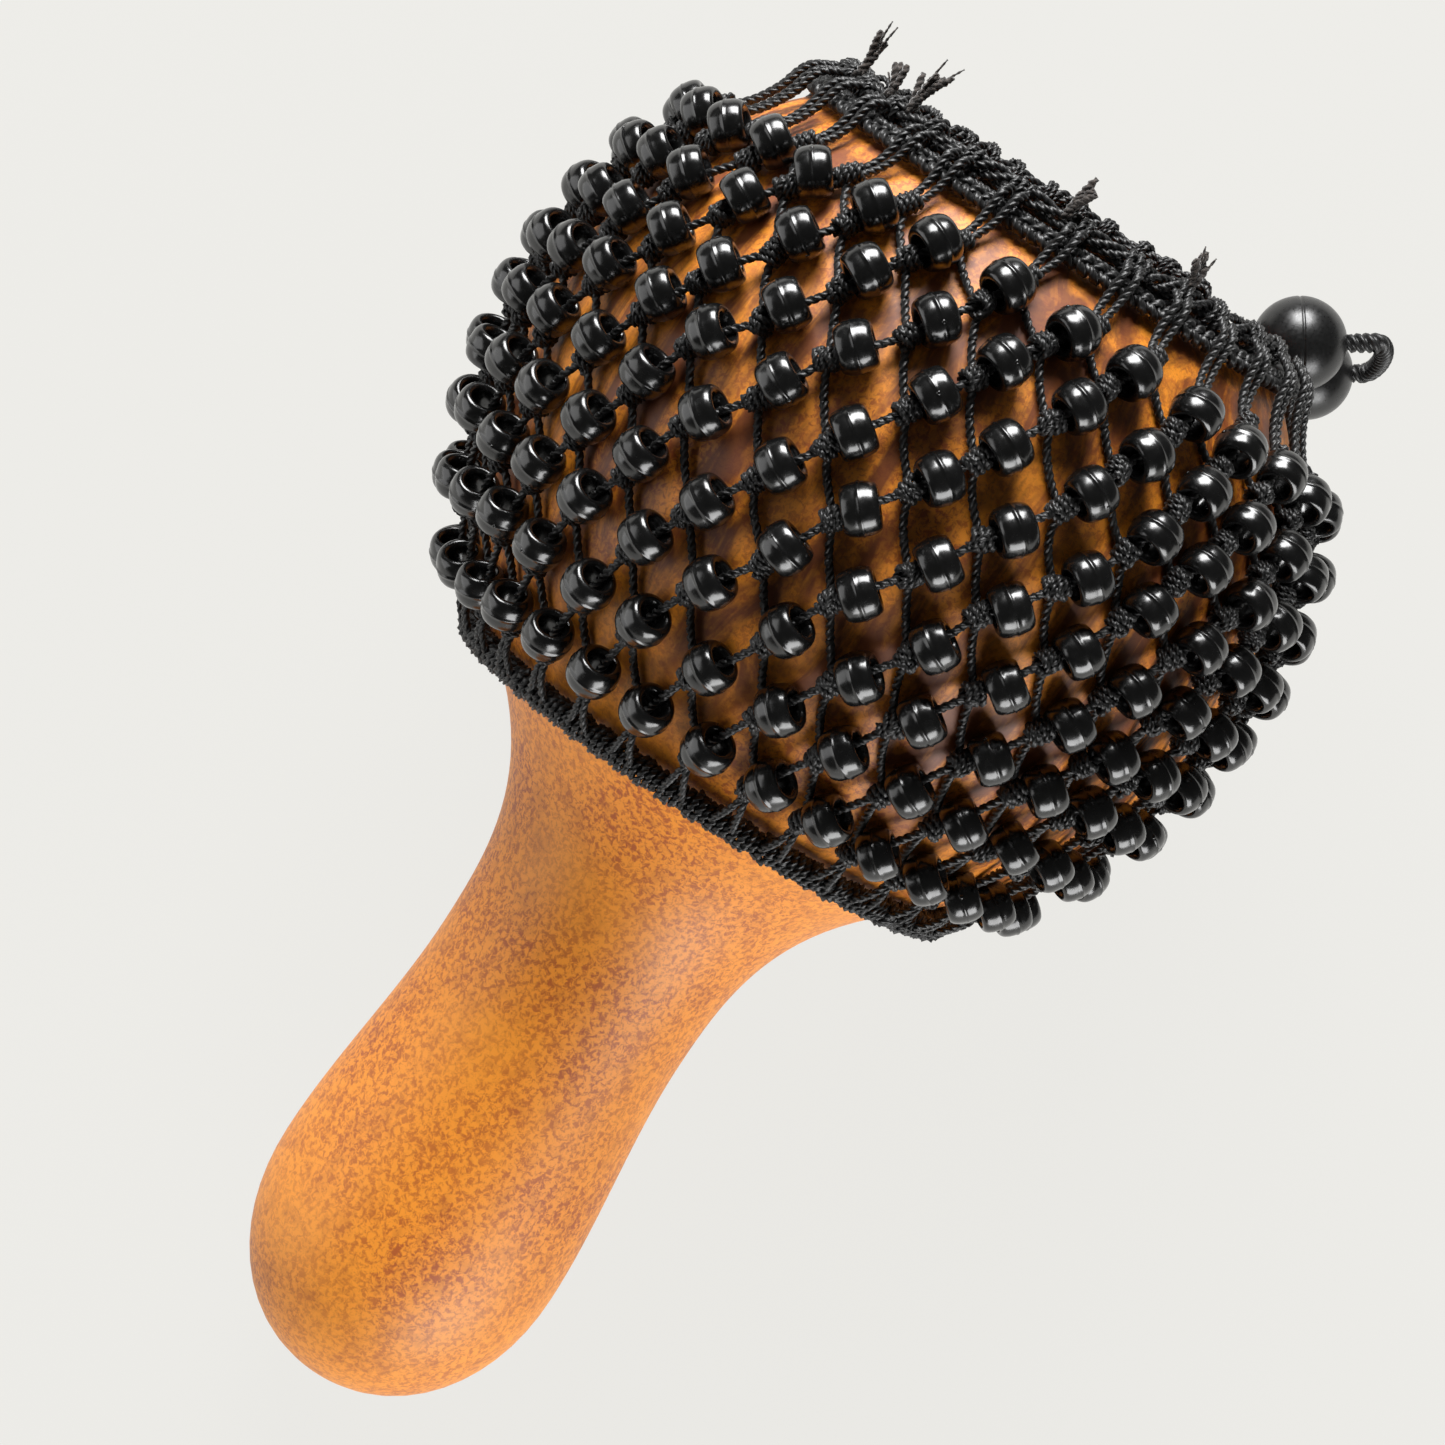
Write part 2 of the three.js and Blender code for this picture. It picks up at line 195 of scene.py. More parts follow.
def ramp(material, source, output, stops):
    """A colour ramp fed by a node. stops are (position, colour)."""
    node = add(material, "ShaderNodeValToRGB", {}, {"Fac": (source, output)})
    elements = node.color_ramp.elements
    for index, (place, colour) in enumerate(stops):
        if index >= len(elements):
            elements.new(place)
        elements[index].position = place
        elements[index].color = colour
    return node


def grey(value):
    return (value, value, value, 1.0)


def link(material, node, output, shader, socket):
    material.node_tree.links.new(node.outputs[output], shader.inputs[socket])


def times(material, first, second):
    """The product of a node's output and another output or a number."""
    settings, links = {"operation": "MULTIPLY"}, {0: first}
    (links if isinstance(second, tuple) else settings)[1] = second
    return add(material, "ShaderNodeMath", settings, links)


def over(material, under, colour, amount):
    """A flat colour laid over an output by an amount."""
    settings = {"data_type": "RGBA", 7: colour}
    return add(material, "ShaderNodeMix", settings, {"Factor": amount, 6: under})


SKIN_LIGHT, SKIN_MID = "#F29A28", "#DE841F"
# the last of these colours is the brown of the painted shade under the net
SKIN_FRECKLE, SKIN_BLOTCH, NET_SHADE_BROWN = "#A65018", "#8C4016", "#6E3414"


# Lacquered calabash skin: orange with brown freckles 0.5 to 1.5 mm across, darker blotches of
# 3 mm and slow clouds, and long brown streaks of painted shade on the belly under the net,
# under a satin lacquer.
def lacquered_calabash():
    m, shader = new_material("lacquered_calabash_skin")
    where = add(m, "ShaderNodeTexCoord")
    tilt = math.atan2(AXIS[2], AXIS[0])
    turn = {"vector_type": "TEXTURE", "Rotation": (0.0, math.pi / 2 - tilt, 0.0), "Location": TIP}
    upright = add(m, "ShaderNodeMapping", turn, {"Vector": (where, "Object")})
    # freckles about 1 mm apart
    fine = {"Scale": 1 / (1.1 * MM), "Detail": 3.0, "Roughness": 0.7, "Distortion": 0.5}
    freckle = add(m, "ShaderNodeTexNoise", fine, {"Vector": (upright, "Vector")})
    freckles = ramp(m, freckle, "Fac", [(0.45, grey(0)), (0.60, grey(1))])
    # blotches where freckles run together, 3 to 4 mm across
    medium = {"Scale": 1 / (5.0 * MM), "Detail": 3.0, "Roughness": 0.65}
    blotch = add(m, "ShaderNodeTexNoise", medium, {"Vector": (upright, "Vector")})
    blotches = ramp(m, blotch, "Fac", [(0.52, grey(0)), (0.70, grey(1))])
    # clouds 20 to 30 mm across
    slow = {"Scale": 1 / (28 * MM), "Detail": 3.0, "Roughness": 0.55}
    cloud = add(m, "ShaderNodeTexNoise", slow, {"Vector": (upright, "Vector")})
    clouds = ramp(m, cloud, "Fac", [(0.36, grey(0.45)), (0.62, grey(1))])
    # painted shade under the net: brown streaks 2.5 mm wide and ten times as long, only on the
    # belly
    long = {"vector_type": "POINT", "Scale": (1.0, 1.0, 0.12)}
    drawn = add(m, "ShaderNodeMapping", long, {"Vector": (upright, "Vector")})
    streak = {"Scale": 1 / (7.0 * MM), "Detail": 4.0, "Roughness": 0.6, "Distortion": 0.8}
    noise_pattern = add(m, "ShaderNodeTexNoise", streak, {"Vector": (drawn, "Vector")})
    net_shade_streaks = ramp(m, noise_pattern, "Fac", [(0.43, grey(0)), (0.58, grey(1))])
    split = add(m, "ShaderNodeSeparateXYZ", {}, {"Vector": (upright, "Vector")})
    belly = add(
        m,
        "ShaderNodeMapRange",
        {"From Min": 0.128, "From Max": 0.160, "To Min": 0.0, "To Max": 0.9},
        {"Value": (split, "Z")},
    )
    ground = {"data_type": "RGBA", 6: srgb(SKIN_LIGHT), 7: srgb(SKIN_MID)}
    skin = add(m, "ShaderNodeMix", ground, {"Factor": (cloud, "Fac")})
    spots = times(m, (freckles, "Color"), (clouds, "Color"))
    skin = over(m, (skin, 2), srgb(SKIN_FRECKLE), (spots, "Value"))
    spots = times(m, (blotches, "Color"), 0.3)
    skin = over(m, (skin, 2), srgb(SKIN_BLOTCH), (spots, "Value"))
    # painted shade: darker brown streaks laid only where the net covers the belly
    net_shade = times(m, (net_shade_streaks, "Color"), (belly, "Result"))
    skin = over(m, (skin, 2), srgb(NET_SHADE_BROWN), (net_shade, "Value"))
    link(m, skin, 2, shader, "Base Color")
    height = {"Strength": 0.15, "Distance": 0.12 * MM}
    bump = add(m, "ShaderNodeBump", height, {"Height": (freckle, "Fac")})
    link(m, bump, "Normal", shader, "Normal")
    shader.inputs["Roughness"].default_value = 0.55
    shader.inputs["IOR"].default_value = 1.5
    shader.inputs["Coat Weight"].default_value = 0.2
    shader.inputs["Coat Roughness"].default_value = 0.45
    return m


# Injection-moulded polystyrene bead: black, glossy but for faint flow marks in its skin.
def moulded_polystyrene():
    m, shader = new_material("moulded_black_polystyrene")
    where = add(m, "ShaderNodeTexCoord")
    marks = {"Scale": 1 / (1.2 * MM), "Detail": 3.0}
    flow = add(m, "ShaderNodeTexNoise", marks, {"Vector": (where, "Object")})
    gloss = ramp(m, flow, "Fac", [(0.3, grey(0.17)), (0.75, grey(0.31))])
    link(m, gloss, "Color", shader, "Roughness")
    bump = add(
        m,
        "ShaderNodeBump",
        {"Strength": 0.1, "Distance": 0.1 * MM},
        {"Height": (flow, "Fac")},
    )
    link(m, bump, "Normal", shader, "Normal")
    shader.inputs["Base Color"].default_value = srgb("#0B0B0B")
    shader.inputs["IOR"].default_value = 1.55
    shader.inputs["Coat Weight"].default_value = 0.3
    shader.inputs["Coat Roughness"].default_value = 0.16
    return m


# Twisted nylon cord: black filaments with a slight sheen along each strand.
def twisted_nylon():
    m, shader = new_material("twisted_black_nylon")
    where = add(m, "ShaderNodeTexCoord")
    fibre = {"Scale": 1 / (0.25 * MM), "Detail": 2.0}
    fibres = add(m, "ShaderNodeTexNoise", fibre, {"Vector": (where, "Object")})
    tone = ramp(m, fibres, "Fac", [(0.3, srgb("#080808")), (0.75, srgb("#242424"))])
    link(m, tone, "Color", shader, "Base Color")
    bump = add(
        m,
        "ShaderNodeBump",
        {"Strength": 0.35, "Distance": 0.08 * MM},
        {"Height": (fibres, "Fac")},
    )
    link(m, bump, "Normal", shader, "Normal")
    shader.inputs["Roughness"].default_value = 0.42
    shader.inputs["IOR"].default_value = 1.53
    shader.inputs["Sheen Weight"].default_value = 0.08
    shader.inputs["Sheen Roughness"].default_value = 0.4
    return m


# Cut cord ends: the same nylon, fuzzed and a little browner and duller.
def frayed_nylon():
    m, shader = new_material("frayed_nylon_ends")
    where = add(m, "ShaderNodeTexCoord")
    fibres = add(
        m,
        "ShaderNodeTexNoise",
        {"Scale": 1 / (0.5 * MM), "Detail": 3.0},
        {"Vector": (where, "Object")},
    )
    tone = ramp(m, fibres, "Fac", [(0.35, srgb("#16120F")), (0.8, srgb("#4A3F37"))])
    link(m, tone, "Color", shader, "Base Color")
    shader.inputs["Roughness"].default_value = 0.8
    shader.inputs["Sheen Weight"].default_value = 0.4
    return m


# Large polystyrene bead from a blasted mould: black with a satin bloom.
def satin_polystyrene():
    m, shader = new_material("satin_black_polystyrene")
    where = add(m, "ShaderNodeTexCoord")
    noise_pattern = {"Scale": 1 / (0.6 * MM), "Detail": 4.0}
    blast = add(m, "ShaderNodeTexNoise", noise_pattern, {"Vector": (where, "Object")})
    gloss = ramp(m, blast, "Fac", [(0.3, grey(0.26)), (0.7, grey(0.38))])
    link(m, gloss, "Color", shader, "Roughness")
    bump = add(
        m,
        "ShaderNodeBump",
        {"Strength": 0.1, "Distance": 0.08 * MM},
        {"Height": (blast, "Fac")},
    )
    link(m, bump, "Normal", shader, "Normal")
    shader.inputs["Base Color"].default_value = srgb("#101010")
    shader.inputs["IOR"].default_value = 1.59
    return m


# Seamless paper on a light table: its own even glow hides the shadows on it.
PAPER_GLOW = 0.975


def pale_paper():
    m, shader = new_material("pale_seamless_paper")
    shader.inputs["Base Color"].default_value = srgb("#2A2A29")
    shader.inputs["Roughness"].default_value = 0.9
    shader.inputs["Specular IOR Level"].default_value = 0.0
    shader.inputs["Emission Color"].default_value = srgb("#EBEAE6")
    shader.inputs["Emission Strength"].default_value = PAPER_GLOW
    return m


CALABASH = lacquered_calabash()
BEAD_PLASTIC = moulded_polystyrene()
CORD = twisted_nylon()
FRAYED = frayed_nylon()
TOGGLE_PLASTIC = satin_polystyrene()
PAPER = pale_paper()


# ---------------------------------------------------------------- meshes
class Parcel:
    """Points and faces gathered for one piece."""

    def __init__(self):
        self.points, self.faces, self.count = [], [], 0

    def add(self, points, faces):
        points = np.asarray(points, float).reshape(-1, 3)
        self.points.append(points)
        self.faces.extend((np.asarray(faces) + self.count).tolist())
        self.count += len(points)

    def tubes(self, rings):
        """rings is (tubes, rings, points round, 3): each tube is closed with end caps."""
        _, length, sides = rings.shape[:3]
        for tube in rings:
            self.add(tube, grid_faces(length, sides))
            base = self.count - length * sides
            self.faces.append([base + i for i in range(sides)][::-1])
            self.faces.append([base + (length - 1) * sides + i for i in range(sides)])

    def hoop(self, rings):
        """rings is (rings, points round, 3), closed on itself."""
        length, sides = rings.shape[:2]
        self.add(rings, grid_faces(length, sides, looped=True))

    def piece(self, name, material):
        mesh = bpy.data.meshes.new(name)
        points = placed(np.concatenate(self.points))
        mesh.from_pydata(points.tolist(), [], self.faces)
        mesh.polygons.foreach_set("use_smooth", [True] * len(mesh.polygons))
        mesh.materials.append(material)
        mesh.update()
        obj = bpy.data.objects.new(name, mesh)
        bpy.context.scene.collection.objects.link(obj)
        return obj


def grid_faces(length, sides, looped=False):
    """Quads between rings of points."""
    rows = np.arange(length if looped else length - 1)[:, None]
    cols = np.arange(sides)[None, :]
    after, across = (rows + 1) % length, (cols + 1) % sides
    quad = [
        rows * sides + cols,
        rows * sides + across,
        after * sides + across,
        after * sides + cols,
    ]
    return np.stack([np.broadcast_to(q, (len(rows), sides)) for q in quad], -1).reshape(-1, 4)


# ---------------------------------------------------------------- the gourd's outline
def hermite(u, p0, p1, m0, m1):
    return (
        (2 * u**3 - 3 * u**2 + 1) * p0
        + (u**3 - 2 * u**2 + u) * m0
        + (-2 * u**3 + 3 * u**2) * p1
        + (u**3 - u**2) * m1
    )


def belly_radius(z):
    half = np.where(z < BELLY_Z, BELLY_UP, BELLY_DOWN)
    return BELLY_R * np.sqrt(np.clip(1 - ((z - BELLY_Z) / half) ** 2, 0, 1))


def outer_radius(z):
    z = np.asarray(z, float)
    tip = HANDLE_R * (1 - np.clip((HANDLE_Z - z) / HANDLE_Z, 0, 1) ** TIP_POWER) ** (1 / TIP_POWER)
    grip = hermite((z - HANDLE_Z) / (WAIST_Z - HANDLE_Z), HANDLE_R, WAIST_R, 0, 0)
    span = FLARE_Z - WAIST_Z
    end = float(belly_radius(np.array(FLARE_Z)))
    flare = hermite((z - WAIST_Z) / span, WAIST_R, end, 0, FLARE_SLOPE * span)
    shape = np.where(z < HANDLE_Z, tip, np.where(z < WAIST_Z, grip, flare))
    return np.where(z < FLARE_Z, shape, belly_radius(z))


def outline_normal(z):
    slope = (outer_radius(z + 0.4) - outer_radius(z - 0.4)) / 0.8
    size = np.hypot(1, slope)
    return 1 / size, -slope / size


def round_point(r, angle, z):
    a = np.radians(angle)
    r, a, z = np.broadcast_arrays(np.asarray(r, float), a, np.asarray(z, float))
    return np.stack([r * np.cos(a), r * np.sin(a), z], -1)


def above(z, height, angle):
    """A point at a height over the shell."""
    out, along = outline_normal(z)
    return round_point(outer_radius(z) + height * out, angle, z + height * along)


def slanted_z(plane, angle):
    """The height on the shell of a plane parallel to the mouth's."""
    z = plane + 0.0 * np.asarray(angle, float)
    for _ in range(12):
        z = plane + MOUTH_SLOPE * outer_radius(z) * np.cos(np.radians(angle))
    return z


def shell_normal(z, angle):
    out, along = outline_normal(z)
    return round_point(out, angle, along)


# ---------------------------------------------------------------- cord
def lobes(sides_per_strand, strands, valley):
    """Angles and radii of a twisted cord's section: round strands with valleys between."""
    u = np.arange(strands * sides_per_strand)
    angle = 2 * math.pi * u / len(u)
    from_crown = np.abs((u % sides_per_strand) / sides_per_strand - 0.5) * 2
    return angle, 1 - (1 - valley) * from_crown**2.2


def cord_rings(path, normal, radius, lay, strands=3, per_strand=4, valley=0.5, start=0.0):
    """Rings of a twisted cord along paths. path and normal are (..., points, 3)."""
    tangent = unit(np.gradient(path, axis=-2))
    side = unit(np.cross(tangent, normal))
    normal = np.cross(side, tangent)
    step = np.linalg.norm(np.diff(path, axis=-2), axis=-1)
    length = np.concatenate([np.zeros(step.shape[:-1] + (1,)), np.cumsum(step, -1)], -1)
    angle, size = lobes(per_strand, strands, valley)
    turn = angle + (2 * math.pi * length / lay + start)[..., None]
    radius = np.asarray(radius, float)
    if radius.ndim:
        radius = radius[..., None]
    reach = (radius * size)[..., None]
    across = np.cos(turn)[..., None] * normal[..., None, :]
    upward = np.sin(turn)[..., None] * side[..., None, :]
    return path[..., None, :] + reach * (across + upward)


def spread(points, count):
    """A smooth path (Catmull-Rom) through points (..., n, 3), with count points."""
    points = np.asarray(points, float)
    n = points.shape[-2]
    first = 2 * points[..., :1, :] - points[..., 1:2, :]
    last = 2 * points[..., -1:, :] - points[..., -2:-1, :]
    p = np.concatenate([first, points, last], -2)
    u = np.linspace(0, n - 1, count)
    i = np.minimum(u.astype(int), n - 2)
    t = (u - i)[:, None]
    p0, p1, p2, p3 = (p[..., i + k, :] for k in range(4))
    return 0.5 * (
        2 * p1
        + (p2 - p0) * t
        + (2 * p0 - 5 * p1 + 4 * p2 - p3) * t**2
        + (3 * p1 - p0 - 3 * p2 + p3) * t**3
    )


# ---------------------------------------------------------------- the net's layout
def knot_z(k):
    return FIRST_KNOT_Z + KNOT_STEP * k - KNOT_CLOSING * k * (k - 1)


def knot_rows():
    """z and angle of every knot, (ROWS + 1, COLUMNS), a little uneven as tied by hand."""
    z, angle = [], []
    for k in range(ROWS + 1):
        column = np.arange(COLUMNS)
        share = k if k < ROWS else ROWS - 1 + LAST_ROW_SHARE
        z_here = knot_z(k)
        if k == ROWS:
            z_here = knot_z(ROWS - 1) + (knot_z(ROWS) - knot_z(ROWS - 1)) * LAST_ROW_SHARE
        z.append(z_here + chance.normal(0, 0.45, COLUMNS))
        angle.append(180 + PITCH * (column + share / 2 - 0.2) + chance.normal(0, 0.4, COLUMNS))
    return np.array(z), np.array(angle)


KNOT_Z, KNOT_ANGLE = knot_rows()


def row_beads(row):
    """Centres, cord directions and outward directions of one row of beads."""
    z0, z1 = KNOT_Z[row], KNOT_Z[row + 1]
    a0, a1 = KNOT_ANGLE[row], KNOT_ANGLE[row + 1]
    start, end = above(z0, 3, a0), above(z1, 3, a1)
    f = BEAD_FROM_KNOT / np.linalg.norm(end - start, axis=-1)
    z, angle = z0 + (z1 - z0) * f, a0 + (a1 - a0) * f
    centre = above(z, BEAD_HEIGHT, angle)
    along = unit(above(z + (z1 - z0) * 0.1, 3, angle + (a1 - a0) * 0.1) - above(z, 3, angle))
    out = shell_normal(z, angle)
    return centre, along, out, z, angle


BEADS = [row_beads(row) for row in range(ROWS)]


# ---------------------------------------------------------------- beads
def bead_outline():
    """A pony bead's section as (along, out): a barrel with rounded lips and a mould seam."""
    u = np.linspace(0, 2 * math.pi, 24, endpoint=False) + math.pi / 24
    wall, middle = (BEAD_R - HOLE_R) / 2, (BEAD_R + HOLE_R) / 2
    c, s = np.cos(u), np.sin(u)
    along = BEAD_HALF * np.sign(c) * np.abs(c) ** 0.72
    out = middle + wall * np.sign(s) * np.abs(s) ** 0.62
    barrel = 0.34 * (along / BEAD_HALF) ** 2 * (s > 0)
    section = np.stack([along, out - barrel], -1)
    crest = BEAD_R + 0.11
    seam = np.array([[0.24, BEAD_R], [0.11, crest], [-0.11, crest], [-0.24, BEAD_R]])
    keep = np.abs(section[:, 0]) + (s < 0) > 0.3
    first = section[keep & (u < math.pi / 2)]
    rest = section[keep & (u >= math.pi / 2)]
    return np.concatenate([first, seam, rest])


BEAD_SECTION = bead_outline()
BEAD_SIDES = 32


def bead_points():
    """(section points, sides, 3) with the bead's axis along X."""
    a = 2 * math.pi * np.arange(BEAD_SIDES) / BEAD_SIDES
    along, out = BEAD_SECTION[:, 0:1], BEAD_SECTION[:, 1:2]
    return np.stack([along + 0 * a, out * np.cos(a), out * np.sin(a)], -1)


def gate_nub():
    """The little stub where the bead was broken off its sprue, on the seam."""
    rings = []
    for height, radius in ((-0.15, 0.42), (0.1, 0.36), (0.2, 0.2)):
        a = 2 * math.pi * np.arange(8) / 8
        ring = [radius * np.cos(a), radius * np.sin(a), np.full(8, BEAD_R + height)]
        rings.append(np.stack(ring, -1))
    return np.stack(rings)


def turned(points, centre, x, z):
    """Points turned so that their X and Z lie along x and z, then moved to centre."""
    y = np.cross(z, x)
    return centre + points[..., 0:1] * x + points[..., 1:2] * y + points[..., 2:3] * z


def make_bead_row(row):
    parcel = Parcel()
    shape, nub = bead_points(), gate_nub()
    faces = grid_faces(len(BEAD_SECTION), BEAD_SIDES, looped=True)
    centre, along, out, _, _ = BEADS[row]
    for i in range(COLUMNS):
        tilt = chance.normal(0, 0.07, 3)
        x = unit(along[i] + tilt)
        z = unit(out[i] - x * (out[i] @ x))
        spin = chance.uniform(0, 2 * math.pi)
        y = np.cross(z, x)
        z = math.cos(spin) * z + math.sin(spin) * y
        place = centre[i] + out[i] * chance.uniform(-0.1, 0.15)
        parcel.add(turned(shape, place, x, z), faces)
        if chance.random() < 0.6:
            parcel.tubes(turned(nub, place, x, z)[None])
    beads = parcel.piece(f"beads_row_{row + 1}", BEAD_PLASTIC)
    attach(beads, f"net_row_{row + 1}")
    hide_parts(f"bead_row_{row + 1}")
    return beads


# ---------------------------------------------------------------- net cords and knots
CORD_STEPS = 11  # points on each half of a cord between two knots


def half_paths(z0, a0, z1, a1, heights, bulge):
    """Cords between two rows of knots, as two halves that meet in the middle."""
    t = np.linspace(0, 1, 2 * CORD_STEPS - 1)[None, :]
    z = z0[:, None] + (z1 - z0)[:, None] * t
    angle = a0[:, None] + (a1 - a0)[:, None] * t
    swing = bulge[:, None] * np.sin(math.pi * t)
    angle = angle + np.degrees(swing / outer_radius(z))
    height = np.interp(t[0], *zip(*heights))[None, :] + 0 * z
    return above(z, height, angle), shell_normal(z, angle)


def row_cords(row):
    """Rings of the beaded and the plain cords that cross one row of beads."""
    z0, z1, a0, a1 = KNOT_Z[row], KNOT_Z[row + 1], KNOT_ANGLE[row], KNOT_ANGLE[row + 1]
    through = [(0, KNOT_HEIGHT), (0.15, 3.1), (0.6, 3.1), (1, KNOT_HEIGHT)]
    beaded = half_paths(z0, a0, z1, a1, through, chance.normal(0, 0.2, COLUMNS))
    under = [(0, KNOT_HEIGHT), (0.3, 1.5), (0.7, 1.0), (0.85, 1.2), (1, KNOT_HEIGHT)]
    a_next = np.roll(a0, -1) + np.where(np.arange(COLUMNS) == COLUMNS - 1, 360, 0)
    z_next = np.roll(z0, -1)
    slack = -0.75 + chance.normal(0, 0.35, COLUMNS)
    plain = half_paths(z1, a1, z_next, a_next, under, slack)
    return beaded, plain


def knot_cord(path, normal, start=0.0):
    return cord_rings(path, normal, KNOT_CORD_R, KNOT_LAY, valley=0.55, start=start)


def knot_rings(row):
    """Each knot: a barrel of clear wraps round the beaded cord, and a turn across it."""
    z, angle = KNOT_Z[row], KNOT_ANGLE[row]
    last = row == ROWS
    along = BEADS[min(row, ROWS - 1)][1]
    out = shell_normal(z, angle)
    centre = above(z, KNOT_HEIGHT, angle) - along * (0.3 if last else 0.0)
    wraps, barrel_r, length, turn_r = KNOT_WRAPS, KNOT_R, KNOT_LENGTH, KNOT_TURN_R
    if last:
        wraps, barrel_r, length, turn_r = LAST_WRAPS, LAST_R, LAST_LENGTH, LAST_TURN_R
    coils, loops = [], []
    for i in range(COLUMNS):
        aside = np.cross(along[i], out[i])
        lean, lift = chance.uniform(-0.5, 0.5), chance.normal(0.1, 0.3)
        if last:
            lean, lift = lean * 0.4, lift * 0.3
        x = unit(along[i] + aside * lean + out[i] * lift)
        n = unit(out[i] - x * (out[i] @ x))
        b = np.cross(x, n)
        t = np.linspace(0, 1, 56)
        turns = 2 * math.pi * wraps * t + chance.uniform(0, 6.28)
        girth = barrel_r * np.sqrt(1 - 0.41 * (2 * t - 1) ** 2)
        around = np.cos(turns)[:, None] * n + np.sin(turns)[:, None] * b
        path = centre[i] + (x * ((t - 0.5) * length)[:, None]) + around * girth[:, None]
        coils.append(knot_cord(path, around, start=lean * 9))
        t = np.linspace(0.04, 0.96, 26) * 2 * math.pi + chance.uniform(-0.5, 0.5)
        across = unit(b + x * chance.uniform(0.7, 1.2) * chance.choice([-1, 1]))
        around = np.cos(t)[:, None] * n * 0.95 + np.sin(t)[:, None] * across
        path = centre[i] + around * turn_r
        loops.append(knot_cord(path, unit(around)))
    return np.stack(coils), np.stack(loops)


def make_knot_row(row, cords):
    """Knots of one row, with the cord halves that meet them from both sides."""
    parcel = Parcel()
    coils, loops = knot_rings(row)
    parcel.tubes(coils)
    parcel.tubes(loops)
    middle = CORD_STEPS - 1
    if row > 0:
        beaded, plain = (cord_rings(*paths, CORD_R, CORD_LAY) for paths in cords[row - 1])
        parcel.tubes(beaded[:, middle:])
        parcel.tubes(plain[:, : middle + 1])
    if row < ROWS:
        beaded, plain = (cord_rings(*paths, CORD_R, CORD_LAY) for paths in cords[row])
        parcel.tubes(beaded[:, : middle + 1])
        parcel.tubes(plain[:, middle:])
    if row == ROWS:
        string_pairs(parcel)
    name = "net_start_knots" if row == 0 else f"net_knots_{row}"
    piece = parcel.piece(name, CORD)
    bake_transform(piece)
    if row == ROWS:
        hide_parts("collar_strings")
    return piece


def string_pairs(parcel):
    """From each last knot two cords run up in a narrow V and fold over the braid."""
    z0, a0 = KNOT_Z[ROWS], KNOT_ANGLE[ROWS]
    lean = 1.6 + chance.normal(0, 0.8, COLUMNS)
    top = slanted_z(BRAID_Z + 2.2, a0 + lean)
    stations = [(0.0, 2.6), (0.3, 2.0), (0.55, 2.9), (0.8, 5.3), (1.0, 4.6)]
    for side in (-1, 1):
        points, normals = [], []
        for t, height in stations:
            z = z0 + (top - z0) * t
            open_out = side * (0.72 + 0.5 * t) + chance.normal(0, 0.1, COLUMNS)
            angle = a0 + lean * t + np.degrees(open_out / outer_radius(z))
            points.append(above(z, height, angle))
            normals.append(shell_normal(z, angle))
        path = spread(np.stack(points, 1), 30)
        normal = unit(spread(np.stack(normals, 1), 30))
        parcel.tubes(cord_rings(path, normal, STRING_R, STRING_LAY, start=side * 1.5))


# ---------------------------------------------------------------- neck ring
def ring_frame(z, height, angle):
    """Centre, outward and lengthways directions of a ring lying on the shell."""
    out = shell_normal(z, angle)
    a = np.radians(angle)
    round_way = np.stack([-np.sin(a), np.cos(a), 0 * a], -1)
    return above(z, height, angle), out, np.cross(out, round_way)


def make_neck_ring():
    """Hitches packed side by side on a core cord, two bulges to every column."""
    parcel = Parcel()
    angle = np.linspace(0, 360, NECK_WRAPS * 11, endpoint=False)
    centre, out, way = ring_frame(NECK_RING_Z, NECK_RING_HEIGHT, angle)
    turns = np.radians(angle) * NECK_WRAPS
    wobble = 0.12 * np.sin(np.radians(angle) * 47 + 1) + 0.1 * np.sin(np.radians(angle) * 91)
    girth = 1.5 + 0.62 * np.abs(np.sin(np.radians(angle * COLUMNS))) + wobble
    around = np.cos(turns)[:, None] * out + np.sin(turns)[:, None] * way
    path = centre + around * girth[:, None]
    rings = cord_rings(path, around, CORD_R, 3.4)
    parcel.hoop(rings)
    angle = np.linspace(0, 360, 330, endpoint=False)
    centre, out, _ = ring_frame(NECK_RING_Z, NECK_RING_HEIGHT, angle)
    parcel.hoop(cord_rings(centre, out, 1.35, 318 / 60))
    neck = parcel.piece("neck_ring_hitches", CORD)
    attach(neck, "neck_cord")
    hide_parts("neck_ring", "neck_hitches")
    return neck


def make_start_cords():
    """Two cords from the neck ring up to each first knot."""
    parcel = Parcel()
    z1, a1 = KNOT_Z[0], KNOT_ANGLE[0]
    for side in (-1, 1):
        points, normals = [], []
        for t, height in ((0, 4.6), (0.45, 4.4), (0.8, 3.0), (1, KNOT_HEIGHT)):
            z = NECK_RING_Z + 0.8 + (z1 - NECK_RING_Z - 0.8) * t
            angle = a1 + side * 2.1 * (1 - t) ** 1.3 + chance.normal(0, 0.15, COLUMNS)
            points.append(above(z, height, angle))
            normals.append(shell_normal(z, angle))
        path = spread(np.stack(points, 1), 18)
        normal = unit(spread(np.stack(normals, 1), 18))
        parcel.tubes(cord_rings(path, normal, START_CORD_R, CORD_LAY))
    piece = parcel.piece("net_start_cords", CORD)
    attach(piece, "neck_cord")
    return piece


